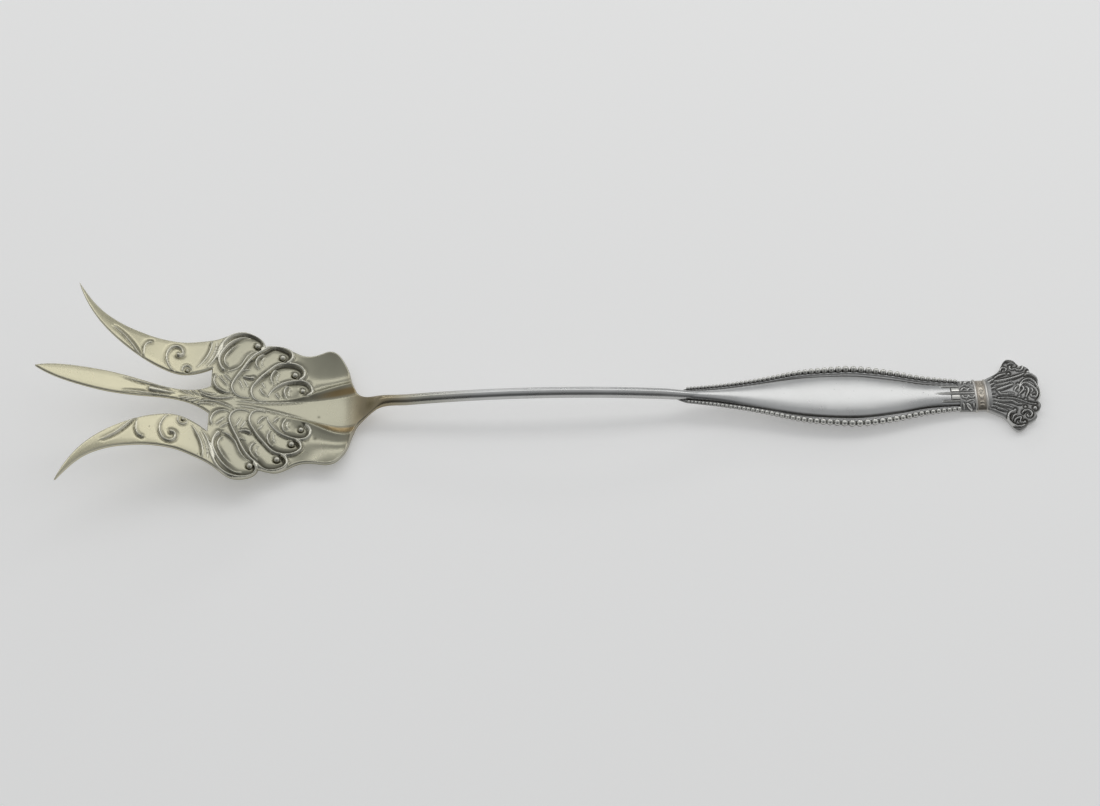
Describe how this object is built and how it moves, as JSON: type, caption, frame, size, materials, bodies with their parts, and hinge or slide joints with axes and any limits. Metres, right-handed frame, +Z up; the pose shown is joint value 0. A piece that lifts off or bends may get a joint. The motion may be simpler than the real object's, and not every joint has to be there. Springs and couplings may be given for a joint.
{
  "type": "salad serving fork",
  "caption": "One-piece serving fork with splayed tines, a scalloped bowl carved with scrolls, a slender round stem and a beaded handle that ends in a small palmette",
  "frame": {"origin": "on the table under the middle of the fork's box", "axes": "+X along the fork from the tines to the palmette, +Z up from the table, +Y across"},
  "size_m": [0.25, 0.059, 0.0269],
  "materials": {
    "silver": "old silver, the bowl and tines lightly gilt, dark patina in the carved recesses"
  },
  "bodies": {
    "root": {"fork": "silver"}
  },
  "joints": []
}
